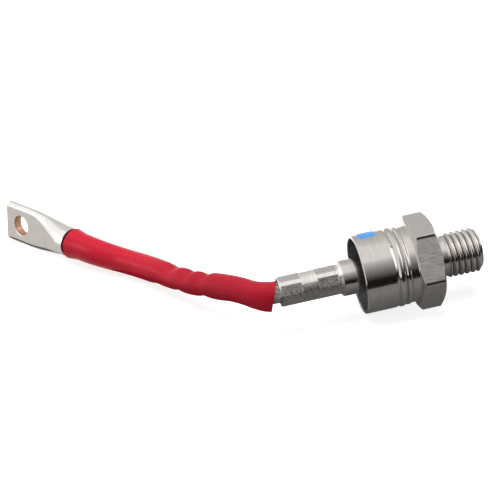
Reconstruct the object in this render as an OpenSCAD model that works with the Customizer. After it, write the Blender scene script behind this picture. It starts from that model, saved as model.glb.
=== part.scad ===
// Stud diode with a flexible lead: hex base and stud, welded cap, terminal tube, sleeved braid and cable lug.
// Millimetres. +X runs along the diode axis to the stud tip, +Z is up, the origin is the middle of the seat.
// The diode lies on one flat of its hex, as it comes to rest, with the lead laid out behind it.

/* [Stud and hex base] */
// Hex width across the flats
hex_af = 30.3; // [29.5:0.1:34]
// Hex thickness
hex_t = 9.1; // [6:0.1:12]
// How far the seating face is turned in from the flats
hex_turn_in = 0.6; // [0.1:0.1:0.8]
// How far the face under the cap stands out past the flats
hex_back_out = 0.4; // [0.1:0.1:0.8]
// Slope of the chamfer on the hex corners, in degrees
hex_chamfer_deg = 25; // [15:1:35]
// Stud diameter over the thread
stud_d = 16; // [12:1:18]
// Stud length from the seating face
stud_len = 16.5; // [14:0.5:24]
// How far the plain neck is turned in below the thread
stud_neck_in = 0.6; // [0.2:0.1:1.2]
// Length of the plain neck
stud_neck_len = 3.4; // [2:0.1:6]
// Chamfer on the end of the stud
stud_chamfer = 1.6; // [0.5:0.1:2]
// How far the turned band above the hex is set in from the weld lip
neck_in = 0.4; // [0.1:0.1:1]
// Height of that band
neck_len = 2.8; // [1.5:0.1:5]
// How far the weld lip is set in from the weld ring
lip_in = 0.2; // [0.05:0.05:0.6]
// Height of the weld lip
lip_t = 2.1; // [1.5:0.1:4]
// Chamfer either side of the weld seam
seam_chamfer = 0.65; // [0.3:0.05:0.9]
// Height of the raised seat for the wafer stack
pedestal_t = 0.6; // [0.3:0.1:1.2]
// Diameter of that seat
pedestal_d = 19; // [18:0.5:20]

/* [Cap] */
// How far the weld ring stands out past the cap
ring_proud = 0.1; // [0.05:0.05:0.4]
// Clear space between the weld ring and the centring ring, on the radius
ring_play = 1.3; // [0.6:0.1:1.6]
// Least wall of the weld ring; cap and ring grow together where the centring ring needs the room
ring_wall = 1.4; // [1:0.1:2.2]
// Height of the weld ring
ring_t = 2.6; // [1.8:0.1:4]
// Cap diameter
cap_d = 28.8; // [27:0.1:29.2]
// Cap height above the weld ring
cap_len = 12.2; // [11.6:0.2:16]
// Cap wall
cap_wall = 1.2; // [0.8:0.1:1.5]
// Rounding on the rim of the cap
rim_round = 0.7; // [0.3:0.1:0.8]
// Depth of the groove where cap and ring meet
groove_depth = 0.45; // [0.2:0.05:0.7]
// Depth from the rim down to the seal
recess_depth = 4; // [3:0.2:4.6]
// Thickness of the seal
seal_t = 3; // [2:0.1:3.4]

/* [Terminal tube] */
// Diameter of the thick end
tube_d = 13; // [11.5:0.1:14]
// How far the thick end stands out of the rim
tube_out = 6.3; // [4:0.1:9]
// How far the tube reaches below the seal
tube_in = 1.2; // [0.6:0.1:1.6]
// Length of the sloped shoulder
shoulder_len = 0.9; // [0.4:0.1:1.5]
// Diameter of the crimped end
crimp_d = 10.8; // [9.8:0.1:11.4]
// Length of the crimped end
crimp_len = 22; // [18:0.5:28]
// How deep each crimped flat is pressed in
crimp_depth = 0.3; // [0.1:0.05:0.6]
// Length of each crimped stretch
crimp_zone = 7.8; // [5:0.1:8.5]
// Depth of the hole for the braid
crimp_bore_depth = 20; // [14:0.5:21]
// Clear space round the inner lead in its hole, on the diameter
inner_play = 0.2; // [0.1:0.05:0.4]
// Depth of the hole for the inner lead
inner_bore_depth = 5; // [3:0.5:8]

/* [Wafer stack] */
// Diameter of the lower molybdenum disc
lower_moly_d = 16; // [14:0.5:16.5]
// Thickness of the lower molybdenum disc
lower_moly_t = 1.2; // [0.8:0.1:1.5]
// Diameter of the silicon wafer
wafer_d = 14; // [12.5:0.5:15]
// Thickness of the silicon wafer
wafer_t = 0.5; // [0.3:0.05:0.6]
// Diameter of the upper molybdenum disc
upper_moly_d = 11.5; // [10.5:0.5:12]
// Thickness of the upper molybdenum disc
upper_moly_t = 1; // [0.6:0.1:1.2]
// Thickness of each solder layer
solder_t = 0.25; // [0.15:0.05:0.4]
// Diameter of the contact cup
cup_d = 10; // [9.4:0.1:10.4]
// Height of the contact cup
cup_t = 1.8; // [1.4:0.1:2]
// Floor thickness of the contact cup
cup_floor = 0.8; // [0.5:0.1:1]
// Wall of the junction coating outside the wafer
coat_wall = 0.7; // [0.4:0.1:0.9]
// Wall of the centring ring
centring_wall = 1.4; // [0.8:0.1:2]
// Diameter of the inner lead
inner_lead_d = 6.4; // [5:0.1:6.4]

/* [Lead] */
// Braid diameter
braid_d = 7.9; // [6:0.1:8]
// Clear space round the braid in its holes, on the diameter
braid_play = 0.3; // [0.1:0.05:0.6]
// Clear space left at each end of the braid
braid_end_play = 0.3; // [0.1:0.1:1]
// Sleeve diameter along the free run
sleeve_d = 9.8; // [9.6:0.1:10.6]
// Sleeve wall
sleeve_wall = 0.55; // [0.4:0.05:0.6]
// How much wider the sleeve is at the diode end
sleeve_mouth_flare = 0.8; // [0.2:0.1:1.4]
// How much narrower the sleeve is where it is twisted
sleeve_waist = 0.8; // [0:0.1:1]
// Clear space between sleeve and lug barrel, on the diameter
sleeve_play = 0.25; // [0.15:0.05:0.5]
// Length of the sleeve on the lug barrel
sleeve_lap = 6; // [4:0.5:8]

/* [Cable lug] */
// Barrel diameter
lug_barrel_d = 11.8; // [11.2:0.1:12.4]
// How far the mouth of the barrel is swaged in on the braid
lug_mouth_in = 1.1; // [0.8:0.1:1.2]
// Length of the swaged part
lug_mouth_len = 10; // [8:0.5:12]
// Width of the palm
lug_w = 16.5; // [14.5:0.1:18]
// Thickness of the palm
lug_t = 3.8; // [2.6:0.1:4.4]
// Hole diameter
lug_hole_d = 8.4; // [6.4:0.1:9]
// Distance from the tip to the middle of the hole
lug_hole_edge = 8.7; // [7:0.1:10]
// Round part of the barrel
lug_straight = 9; // [8:0.5:12]
// Length over which barrel turns into palm
lug_taper_len = 18; // [15:0.5:24]
// Length of the flat palm
lug_palm_len = 17.7; // [16:0.1:22]
// Depth of the hole in the barrel
lug_bore_depth = 12; // [10:0.5:13]
// Height of the barrel mouth's axis above the table
lug_mouth_h = 7.2; // [7.2:0.05:8]
// Heading of the lug away from the diode axis, in degrees
lug_heading = 52; // [48:1:56]
// Upward pitch of the lug, in degrees
lug_pitch = 2; // [1:0.5:3]
// Sideways lean of the palm, in degrees
lug_lean = 12; // [8:1:18]

/* [Hidden] */
hex_ac = hex_af / cos(30);
stud_neck_d = stud_d - 2 * stud_neck_in;
neck_x = -hex_t - neck_len;
seam_x = neck_x - lip_t;
ring_x = seam_x - ring_t;
rim_x = ring_x - cap_len;
seal_top_x = rim_x + recess_depth;
seal_low_x = seal_top_x + seal_t;
tube_low_x = seal_low_x + tube_in;
shoulder_x = rim_x - tube_out;
crimp_x = shoulder_x - shoulder_len;
mouth_x = crimp_x - crimp_len;
centring_d = pedestal_d + 2 * centring_wall;
ring_id = centring_d + 2 * ring_play;
cap_od = max(cap_d, ring_id + 2 * (ring_wall - ring_proud));
cap_id = cap_od - 2 * cap_wall;
ring_d = cap_od + 2 * ring_proud;
lip_d = ring_d - 2 * lip_in;
neck_d = lip_d - 2 * neck_in;
crimp_af = crimp_d - 2 * crimp_depth;
inner_bore_d = inner_lead_d + inner_play;
lug_len = lug_straight + lug_taper_len + lug_palm_len;
pedestal_x = seam_x - pedestal_t;
lower_moly_x = pedestal_x - solder_t;
wafer_x = lower_moly_x - lower_moly_t;
upper_moly_x = wafer_x - wafer_t;
cup_solder_x = upper_moly_x - upper_moly_t;
cup_x = cup_solder_x - solder_t;
inner_lead_x = cup_x - cup_floor;
inner_lead_end_x = tube_low_x - inner_bore_depth;
floor_z = -hex_af / 2;
lug_axis_z = floor_z + lug_mouth_h;
braid_hole_d = braid_d + braid_play;
sides = 12;
steps = 3;
lug_sides = 32;
lug_rings = 18;
// Way of the lead: steps from the tube mouth along x and y, and the share of the drop down to the lug.
route = [[crimp_bore_depth - braid_end_play, 0, 0], [crimp_bore_depth / 2, 0, 0], [2, 0, 0], [0, 0, 0],
    [-1.6, 0.2, 0.01], [-3, 0.85, 0.03], [-5.9, 2.85, 0.08], [-8.4, 5.2, 0.13], [-13.1, 10.9, 0.23],
    [-20.5, 20.5, 0.48], [-28.3, 30.8, 0.75], [-35.9, 43.3, 0.98], [-43.4, 55.1, 1.13], [-49.9, 63.6, 1.2],
    [-54.9, 68.4, 1.14], [-60.5, 73.6, 1.025], [-64.2, 78.35, 1]];
sleeve_first = 5;
twist_first = 8.7;
twist_last = 10.7;
route_end = route[len(route) - 1];
lug_mouth = [mouth_x + route_end[0], route_end[1], lug_axis_z];
lug_turn = [lug_lean, -lug_pitch, 180 - lug_heading];
lug_way = [-cos(lug_pitch) * cos(lug_heading), cos(lug_pitch) * sin(lug_heading), sin(lug_pitch)];
way = concat([for (p = route) [mouth_x + p[0], p[1], p[2] * lug_axis_z]],
    [lug_mouth + sleeve_lap / 2 * lug_way, lug_mouth + sleeve_lap * lug_way,
        lug_mouth + (lug_bore_depth - braid_end_play) * lug_way]);
lug_at = len(route) - 1;
sleeve_last = lug_at + 2;
$fn = 96;

function unit(v) = v / norm(v);
function tangent(i) = let (last = len(way) - 1, share = i == 0 || i == last ? 1 : 2)
    (way[min(i + 1, last)] - way[max(i - 1, 0)]) / share;
// Point and direction on the smooth curve through the way points, for segment i and share t of it.
function on_way(i, t) = way[i] * (2 * t ^ 3 - 3 * t ^ 2 + 1) + tangent(i) * (t ^ 3 - 2 * t ^ 2 + t)
    + way[i + 1] * (3 * t ^ 2 - 2 * t ^ 3) + tangent(i + 1) * (t ^ 3 - t ^ 2);
function heading(i, t) = unit(way[i] * (6 * t ^ 2 - 6 * t) + tangent(i) * (3 * t ^ 2 - 4 * t + 1)
    + way[i + 1] * (6 * t - 6 * t ^ 2) + tangent(i + 1) * (3 * t ^ 2 - 2 * t));
function across(d) = unit(cross(d, [0, 0, 1]));
function circle_at(p, d, r) = [for (k = [0:sides - 1]) p + r * (cos(360 * k / sides) * across(d)
    + sin(360 * k / sides) * cross(across(d), d))];
function marks(first, last) = concat([for (i = [first:last - 1]) for (k = [0:steps - 1]) [i, k / steps]],
    [[last - 1, 1]]);
function flat(rings) = [for (ring = rings) for (p = ring) p];
function skin(n, m, out) = [for (j = [0:m - 2]) for (k = [0:n - 1]) let (a = j * n + k, b = j * n + (k + 1) % n)
    out ? [a, b, b + n, a + n] : [a + n, b + n, b, a]];
function shifted(faces, by) = [for (f = faces) [for (v = f) v + by]];
function mix(a, b, t) = a + (b - a) * t;
function ease(t) = let (u = max(0, min(1, t))) u * u * (3 - 2 * u);

// Solid of revolution about the diode axis from [radius, x] points.
module turned(points) {
    rotate([0, 90, 0])
        rotate_extrude()
            polygon(points);
}

module along(x0, x1, d, sided = 96) {
    translate([x0, 0, 0])
        rotate([0, 90, 0])
            rotate([0, 0, 30])
                cylinder(d = d, h = x1 - x0, $fn = sided);
}

module disc(x_low, t, d) {
    along(x_low - t, x_low, d);
}

module stud_base() {
    slope = (hex_ac / 2 - hex_af / 2 + hex_turn_in) * tan(hex_chamfer_deg);
    back_slope = (hex_ac / 2 - hex_af / 2 - hex_back_out) * tan(hex_chamfer_deg);
    color("silver") {
        intersection() {
            along(-hex_t, 0, hex_ac, 6);
            turned([[0, -hex_t], [hex_af / 2 + hex_back_out, -hex_t], [hex_ac / 2, back_slope - hex_t],
                [hex_ac / 2, -slope], [hex_af / 2 - hex_turn_in, 0], [0, 0]]);
        }
        turned([[0, pedestal_x], [pedestal_d / 2, pedestal_x], [pedestal_d / 2, seam_x],
            [lip_d / 2 - seam_chamfer, seam_x], [lip_d / 2, seam_x + seam_chamfer],
            [lip_d / 2, neck_x - neck_in], [neck_d / 2, neck_x], [neck_d / 2, -hex_t / 2],
            [0, -hex_t / 2]]);
        turned([[0, -hex_t], [stud_neck_d / 2, -hex_t], [stud_neck_d / 2, stud_neck_len - stud_neck_in],
            [stud_d / 2, stud_neck_len], [stud_d / 2, stud_len - stud_chamfer],
            [stud_d / 2 - stud_chamfer, stud_len], [0, stud_len]]);
    }
}

module weld_ring() {
    color("gainsboro")
        turned([[ring_id / 2, ring_x], [ring_d / 2 - groove_depth, ring_x], [ring_d / 2, ring_x + groove_depth],
            [ring_d / 2, seam_x - seam_chamfer], [ring_d / 2 - seam_chamfer - lip_in, seam_x],
            [ring_id / 2, seam_x]]);
}

module cap_shell() {
    r = cap_od / 2;
    color("silver")
        turned(concat([[cap_id / 2, ring_x]], [[cap_id / 2, rim_x]],
            [for (a = [0:15:90]) [r - rim_round + rim_round * sin(a), rim_x + rim_round - rim_round * cos(a)]],
            [[r, ring_x - groove_depth], [r - groove_depth, ring_x]]));
}

module seal_insulator() {
    color("dimgray")
        turned([[tube_d / 2, seal_top_x], [cap_id / 2, seal_top_x], [cap_id / 2, seal_low_x],
            [tube_d / 2, seal_low_x]]);
}

module crimp(x) {
    difference() {
        along(x, x + crimp_zone, crimp_d + 2);
        along(x - 1, x + crimp_zone + 1, crimp_af / cos(30), 6);
    }
}

module terminal_tube() {
    color("silver")
        difference() {
            turned([[0, mouth_x], [crimp_d / 2, mouth_x], [crimp_d / 2, crimp_x], [tube_d / 2, shoulder_x],
                [tube_d / 2, tube_low_x], [0, tube_low_x]]);
            along(mouth_x - 1, mouth_x + crimp_bore_depth, braid_hole_d);
            along(inner_lead_end_x, tube_low_x + 1, inner_bore_d);
            crimp(mouth_x + 0.4);
            crimp(crimp_x - 0.4 - crimp_zone);
        }
}

module base_solder() {
    color("lightgray")
        disc(pedestal_x, solder_t, lower_moly_d);
}

module lower_moly_disc() {
    color("darkgray")
        disc(lower_moly_x, lower_moly_t, lower_moly_d);
}

module silicon_wafer() {
    color("slategray")
        disc(wafer_x, wafer_t, wafer_d);
}

module upper_moly_disc() {
    color("darkgray")
        disc(upper_moly_x, upper_moly_t, upper_moly_d);
}

// Rubbery bead that covers the rim of the wafer and stands against both discs.
module junction_coat() {
    color("white")
        turned([[wafer_d / 2, wafer_x], [wafer_d / 2, upper_moly_x], [upper_moly_d / 2, upper_moly_x],
            [upper_moly_d / 2, upper_moly_x - upper_moly_t / 2], [wafer_d / 2, upper_moly_x - upper_moly_t / 2],
            [wafer_d / 2 + coat_wall, upper_moly_x], [wafer_d / 2 + coat_wall, wafer_x]]);
}

module centring_ring() {
    color("ivory")
        turned([[lower_moly_d / 2, pedestal_x], [pedestal_d / 2, pedestal_x], [pedestal_d / 2, seam_x],
            [centring_d / 2, seam_x], [centring_d / 2, wafer_x], [lower_moly_d / 2, wafer_x]]);
}

module cup_solder() {
    color("lightgray")
        disc(cup_solder_x, solder_t, cup_d);
}

module contact_cup() {
    color("peru")
        turned([[0, cup_x], [cup_d / 2, cup_x], [cup_d / 2, cup_x - cup_t], [inner_lead_d / 2, cup_x - cup_t],
            [inner_lead_d / 2, inner_lead_x], [0, inner_lead_x]]);
}

module inner_lead() {
    color("orange")
        along(inner_lead_end_x, inner_lead_x, inner_lead_d);
}

module lead_braid() {
    at = marks(0, len(way) - 1);
    rings = [for (m = at) circle_at(on_way(m[0], m[1]), heading(m[0], m[1]), braid_d / 2)];
    count = len(rings);
    color("lightgray")
        polyhedron(flat(rings), concat(skin(sides, count, true), [[for (k = [sides - 1:-1:0]) k]],
            [[for (k = [0:sides - 1]) (count - 1) * sides + k]]));
}

// Outer radius of the sleeve at u segments along the way: flared at the diode, drawn in where it is twisted,
// and stretched over the lug barrel.
function sleeve_r(u) = let (on_lug = max(0, u - lug_at) * sleeve_lap / 2,
    over = lug_half(on_lug, lug_w) + sleeve_play / 2 + sleeve_wall)
    mix(sleeve_d / 2, over, ease(u - lug_at + 1))
    + sleeve_mouth_flare / 2 * (1 - ease((u - sleeve_first) / 1.6))
    - sleeve_waist / 2 * ease((u - twist_first) / 0.8) * (1 - ease((u - twist_last) / 0.8));

module lead_sleeve() {
    at = marks(sleeve_first, sleeve_last);
    sized = 1 / cos(180 / sides);
    outer = [for (m = at) circle_at(on_way(m[0], m[1]), heading(m[0], m[1]), sleeve_r(m[0] + m[1]) * sized)];
    inner = [for (m = at) circle_at(on_way(m[0], m[1]), heading(m[0], m[1]),
        (sleeve_r(m[0] + m[1]) - sleeve_wall) * sized)];
    count = len(at);
    far = (count - 1) * sides;
    wide = count * sides;
    color("crimson")
        polyhedron(flat(concat(outer, inner)), concat(skin(sides, count, true),
            shifted(skin(sides, count, false), wide),
            [for (k = [0:sides - 1]) let (n = (k + 1) % sides) [n, k, wide + k, wide + n]],
            [for (k = [0:sides - 1]) let (n = (k + 1) % sides)
                [far + k, far + n, wide + far + n, wide + far + k]]));
}

// Half of the lug's size at distance x: the barrel opens from its swaged mouth, then turns into the palm.
function lug_half(x, palm) = mix(lug_barrel_d / 2 - lug_mouth_in * (1 - ease(x / lug_mouth_len)), palm / 2,
    ease((x - lug_straight) / lug_taper_len));
// Flattened round: half height b, half thickness c, at distance x along the lug.
function lug_ring(x) = let (b = lug_half(x, lug_w), c = lug_half(x, lug_t))
    [for (k = [0:lug_sides - 1]) let (a = 360 * (k + 0.5) / lug_sides)
    [x, c * cos(a), (b - c) * sign(sin(a)) + c * sin(a)]];

module cable_lug() {
    flat_x = lug_straight + lug_taper_len;
    at = concat([for (k = [0:lug_rings]) flat_x * k / lug_rings], [lug_len]);
    rings = [for (x = at) lug_ring(x)];
    count = len(rings);
    color("gainsboro")
        translate(lug_mouth)
            rotate(lug_turn)
                difference() {
                    polyhedron(flat(rings), concat(skin(lug_sides, count, false),
                        [[for (k = [0:lug_sides - 1]) k]],
                        [[for (k = [lug_sides - 1:-1:0]) (count - 1) * lug_sides + k]]));
                    along(-1, lug_bore_depth, braid_hole_d);
                    translate([lug_len - lug_hole_edge, 0, 0])
                        rotate([90, 0, 0])
                            cylinder(d = lug_hole_d, h = 2 * lug_t, center = true);
                }
}

stud_base();
weld_ring();
cap_shell();
seal_insulator();
terminal_tube();
base_solder();
lower_moly_disc();
silicon_wafer();
upper_moly_disc();
junction_coat();
centring_ring();
cup_solder();
contact_cup();
inner_lead();
lead_braid();
lead_sleeve();
cable_lug();
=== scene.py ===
"""Stud diode with a sleeved flexible lead and a flattened tube lug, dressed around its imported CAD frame.

Laid out as an add-on and run as a script: each group of pieces has one operator, and main() calls them
in order. Every size is in metres, in the frame of the CAD: +X along the diode's axis to the stud's tip,
+Z up, origin in the seat.
"""

import math

import bmesh
import bpy
import numpy as np
from bpy.props import FloatProperty, FloatVectorProperty, IntProperty, PointerProperty
from mathutils import Matrix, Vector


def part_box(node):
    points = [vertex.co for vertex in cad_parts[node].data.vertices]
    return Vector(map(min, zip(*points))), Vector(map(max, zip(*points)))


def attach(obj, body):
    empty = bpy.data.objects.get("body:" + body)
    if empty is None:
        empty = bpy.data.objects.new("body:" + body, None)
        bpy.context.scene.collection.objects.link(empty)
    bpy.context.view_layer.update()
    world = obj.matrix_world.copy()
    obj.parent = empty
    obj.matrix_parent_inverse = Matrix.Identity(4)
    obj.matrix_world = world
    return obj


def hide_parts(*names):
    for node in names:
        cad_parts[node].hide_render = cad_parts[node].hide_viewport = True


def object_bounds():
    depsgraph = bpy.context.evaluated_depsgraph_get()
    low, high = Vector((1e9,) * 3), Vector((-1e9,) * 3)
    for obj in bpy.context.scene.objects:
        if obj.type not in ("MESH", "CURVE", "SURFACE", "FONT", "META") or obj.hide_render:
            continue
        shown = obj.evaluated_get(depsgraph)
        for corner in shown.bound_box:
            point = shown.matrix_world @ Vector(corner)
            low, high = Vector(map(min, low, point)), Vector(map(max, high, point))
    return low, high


bl_info = {
    "name": "Stud diode",
    "version": (1, 0, 0),
    "blender": (4, 5, 0),
    "location": "View3D > Sidebar > Stud diode",
    "description": "Builds the looks of a stud diode with a sleeved lead around its CAD frame",
    "category": "Object",
}

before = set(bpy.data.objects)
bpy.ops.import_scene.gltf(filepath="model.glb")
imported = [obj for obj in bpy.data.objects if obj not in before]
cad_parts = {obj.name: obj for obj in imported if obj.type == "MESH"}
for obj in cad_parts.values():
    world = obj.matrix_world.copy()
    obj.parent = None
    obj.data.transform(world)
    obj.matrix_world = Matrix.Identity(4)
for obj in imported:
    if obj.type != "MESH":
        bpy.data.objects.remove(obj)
CAD_LOW, CAD_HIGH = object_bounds()
MM = 0.001
TURN = 2.0 * math.pi


# Properties


def linear(code):
    """An sRGB hex colour as linear red, green and blue."""
    srgb = np.array([int(code[i : i + 2], 16) for i in (1, 3, 5)]) / 255.0
    return tuple(np.where(srgb <= 0.04045, srgb / 12.92, ((srgb + 0.055) / 1.055) ** 2.4))


def length(label, note, millimetres):
    """A length property, written in millimetres and kept in metres."""
    return FloatProperty(
        name=label, description=note, default=millimetres * MM, unit="LENGTH", precision=5
    )


def angle(label, note, degrees):
    """An angle property, written in degrees and kept in radians."""
    return FloatProperty(
        name=label, description=note, default=math.radians(degrees), subtype="ANGLE"
    )


def colour(label, note, code):
    """A colour property, written as sRGB hex and kept linear."""
    return FloatVectorProperty(
        name=label, description=note, default=linear(code), subtype="COLOR", size=3, min=0.0, max=1.0
    )


class StudBaseSizes(bpy.types.PropertyGroup):
    """The plated base: hexagon, neck and threaded stud."""

    across_flats: length("Across flats", "Hexagon across its flats", 30.3)
    hex_height: length("Hexagon height", "Hexagon along the axis", 9.1)
    turned_in: length("Turned in", "Seating face, inside the flats", 0.6)
    back_out: length("Back face", "Face under the can, outside the flats", 0.4)
    chamfer: angle("Chamfer angle", "Slope of the turned chamfer on the hexagon", 25.0)
    neck_radius: length("Neck radius", "Plain band above the hexagon", 13.9)
    neck_height: length("Neck height", "Plain band along the axis", 2.8)
    lip_radius: length("Lip radius", "Welding lip above the neck", 14.3)
    stud_radius: length("Stud radius", "Thread over its crests", 8.15)
    stud_neck_radius: length("Stud neck radius", "Plain neck under the thread", 7.4)
    stud_length: length("Stud length", "Stud from the seat to its tip", 16.5)
    stud_neck: length("Stud neck", "Plain neck under the thread", 3.4)
    tip_chamfer: length("Tip chamfer", "Chamfer on the stud's tip", 1.6)
    pitch: length("Thread pitch", "Right-hand thread", 2.18)
    thread_depth: length("Thread depth", "From crest to root", 1.1)


class CanSizes(bpy.types.PropertyGroup):
    """The welded can with its ring, its seal and a dab of marking paint."""

    radius: length("Can radius", "Outside of the can", 14.4)
    wall: length("Can wall", "Sheet of the can", 1.2)
    ring_radius: length("Ring radius", "Weld ring under the can", 14.5)
    rim: length("Rim", "Can's open end along the axis, as a distance from the seat", 28.8)
    foot: length("Foot", "Groove between the can and its ring, from the seat", 16.6)
    seam: length("Seam", "Welded seam, from the seat", 14.0)
    paint: length("Paint", "Thickness of the marking paint", 0.04)


class TubeSizes(bpy.types.PropertyGroup):
    """The crimped terminal tube."""

    radius: length("Tube radius", "Thick part in the seal", 6.5)
    crimp_radius: length("Crimp barrel radius", "Barrel over the braid", 5.4)
    crimp_flats: length("Crimp flats", "Across the flats of a crimp", 10.2)
    inner_end: length("Inner end", "End below the seal, from the seat", 20.6)
    shoulder: length("Shoulder", "Step down to the barrel, from the seat", 35.1)
    mouth: length("Mouth", "Open end, from the seat", 58.0)
    crimp_length: length("Crimp length", "Each crimp along the axis", 7.8)
    crimp_margin: length("Crimp margin", "From a crimp to the barrel's end", 0.4)
    bore: length("Bore radius", "Bore that takes the braid", 4.1)


class LeadSizes(bpy.types.PropertyGroup):
    """The woven braid and its sleeve."""

    braid_radius: length("Braid radius", "Over the woven strands", 3.95)
    sleeve_radius: length("Sleeve radius", "Outside of the sleeve", 4.9)
    sleeve_wall: length("Sleeve wall", "Wall of the sleeve", 0.55)
    flare: length("Flare", "How much the end at the diode stands out", 0.55)
    lug_gap: length("Lug gap", "How far the end at the lug stands off it", 0.05)
    waist: length("Waist", "How much the twisted stretch is drawn in", 0.25)
    sag: length("Sag", "How far the loose end hangs below the braid", 1.4)
    strands: IntProperty(
        name="Strands", description="Strands that run each way round the braid", default=12, min=6, max=24
    )
    lay: length("Lay", "Length in which a strand goes once round", 30.0)


class LugSizes(bpy.types.PropertyGroup):
    """The lug, pressed flat from a tube."""

    barrel_radius: length("Barrel radius", "Round part of the tube", 5.9)
    mouth_in: length("Mouth in", "How far the mouth is swaged in", 1.1)
    mouth_length: length("Mouth length", "Swaged part along the tube", 10.0)
    bore: length("Bore radius", "Bore that takes the braid", 4.1)
    bore_depth: length("Bore depth", "From the mouth", 12.0)
    straight: length("Straight", "Tube before it is pressed flat", 11.0)
    taper: length("Taper", "From round to flat", 20.0)
    total: length("Length", "From mouth to tip", 44.7)
    palm_width: length("Palm width", "Across the palm", 16.5)
    palm_thickness: length("Palm thickness", "Two walls pressed together", 3.8)
    hole_radius: length("Hole radius", "Hole for the screw", 4.2)
    hole_at: length("Hole place", "Hole's middle from the mouth", 36.0)


class FinishColours(bpy.types.PropertyGroup):
    """The colours of the finishes."""

    nickel: colour("Nickel", "Nickel plating", "#D5D0CC")
    tin: colour("Tin", "Tinned lug", "#F8F5F1")
    copper: colour("Copper", "Bare copper", "#D9A78A")
    sleeve: colour("Sleeve", "Sleeve's PVC", "#D90B30")
    braid: colour("Braid", "Tinned copper wire", "#DCDAD2")
    glass: colour("Seal", "Sealing glass", "#454543")
    paint: colour("Paint", "Marking paint", "#43A6F6")


class ViewSettings(bpy.types.PropertyGroup):
    """Where the camera stands, and the light."""

    azimuth: angle("Azimuth", "Camera's turn about the upright axis", -6.956)
    elevation: angle("Elevation", "Camera's height as an angle", 29.611)
    roll: angle("Roll", "Camera's turn about its own line of sight", -8.834)
    origin_seen: FloatVectorProperty(
        name="Origin",
        description="The seat's middle in the camera's own axes",
        default=(0.066587, -0.002858, -0.542289),
        subtype="TRANSLATION",
        size=3,
        precision=6,
    )
    lens: FloatProperty(
        name="Lens", description="Focal length in millimetres on a 36 mm sensor", default=108.0
    )
    ambient: FloatProperty(name="Ambient", description="Even light from all round", default=0.25)
    key: FloatProperty(
        name="Key light", description="Power of the soft light overhead, in watts", default=11.0
    )


class StudDiode(bpy.types.PropertyGroup):
    """Everything that the panel shows."""

    base: PointerProperty(type=StudBaseSizes)
    can: PointerProperty(type=CanSizes)
    tube: PointerProperty(type=TubeSizes)
    lead: PointerProperty(type=LeadSizes)
    lug: PointerProperty(type=LugSizes)
    finish: PointerProperty(type=FinishColours)
    view: PointerProperty(type=ViewSettings)


# Surfaces


def smooth(value, low, high):
    """0 before low, 1 after high, and an even S between them."""
    t = np.clip((value - low) / (high - low), 0.0, 1.0)
    return t * t * (3.0 - 2.0 * t)


def soften(corners, setback, steps=5):
    """Rounds a profile: each inner corner gives way to a parabola between two points set back from it.

    One more point stands just outside each end of the parabola, so that flats stay flat when shaded.
    """
    least, most, outside = 1e-9, 0.4, 1.2
    corner = corners[1:-1]
    back, ahead = corners[:-2] - corner, corners[2:] - corner
    room_back = np.maximum(np.linalg.norm(back, axis=-1, keepdims=True), least)
    room_ahead = np.maximum(np.linalg.norm(ahead, axis=-1, keepdims=True), least)
    shape = (-1,) + (1,) * (corners.ndim - 1)
    setback = np.broadcast_to(setback, len(corner)).reshape(shape)
    reach = np.minimum(setback, most * np.minimum(room_back, room_ahead))
    start = corner + back / room_back * reach
    end = corner + ahead / room_ahead * reach
    rows = [corner + (start - corner) * outside]
    rows += [
        (1 - t) ** 2 * start + 2 * t * (1 - t) * corner + t * t * end
        for t in np.linspace(0.0, 1.0, steps)
    ]
    rows += [corner + (end - corner) * outside]
    body = np.stack(rows, axis=1).reshape((-1,) + corners.shape[1:])
    return np.concatenate([corners[:1], body, corners[-1:]])


def soften_ring(corners, setback, steps=5):
    """Rounds a profile that closes on itself, as soften does."""
    closed = np.concatenate([corners[-1:], corners, corners[:1]])
    return soften(closed, setback, steps)[1:-1]


def turned(profile, angles):
    """A profile of (place on the axis, radius) carried round X; the radius may change with the angle."""
    if profile.ndim == 2:
        profile = np.repeat(profile[:, None], len(angles), axis=1)
    x, r = profile[..., 0], profile[..., 1]
    return np.stack([x, r * np.cos(angles), r * np.sin(angles)], axis=-1)


def hex_angles(per_side):
    """Angles round a hexagon with a corner at 0, and each one's offset from the middle of its flat.

    A sine draws them closer together near each corner.
    """
    crowding = 0.82
    share = np.arange(per_side) / per_side
    share = share - crowding * np.sin(TURN * share) / TURN
    angles = (np.arange(6)[:, None] + share[None, :]) * TURN / 6
    offset = np.broadcast_to((share - 0.5) * TURN / 6, angles.shape)
    return angles.ravel(), offset.ravel()


def hex_radius(half_flats, offset, hardness):
    """A hexagon's radius at an offset from a flat's middle.

    It is a high-power mean of the two nearest flats, which rounds the corner.
    """
    near, far = np.cos(offset), np.cos(TURN / 6 - np.abs(offset))
    return half_flats * (near**hardness + far**hardness) ** (-1.0 / hardness)


def catmull(points, steps):
    """A smooth line through points.

    On each stretch it is the cubic whose slopes at the ends are half the chord of the neighbours.
    """
    p = np.vstack([2 * points[0] - points[1], points, 2 * points[-1] - points[-2]])
    t = np.linspace(0.0, 1.0, steps, endpoint=False)[None, :, None]
    before, here, there, after = (p[i : len(p) - 3 + i, None] for i in range(4))
    line = (
        (2 * t**3 - 3 * t**2 + 1) * here
        + (t**3 - 2 * t**2 + t) * (there - before) / 2
        + (3 * t**2 - 2 * t**3) * there
        + (t**3 - t**2) * (after - here) / 2
    )
    return np.vstack([line.reshape(-1, 3), points[-1:]])


def travel(line):
    """Distance along a line at each of its points."""
    steps = np.linalg.norm(np.diff(line, axis=0), axis=1)
    return np.concatenate([[0.0], np.cumsum(steps)])


def along(line, distance):
    """Points of a line at given distances along it."""
    gone = travel(line)
    return np.stack([np.interp(distance, gone, line[:, k]) for k in range(3)], axis=-1)


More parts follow.
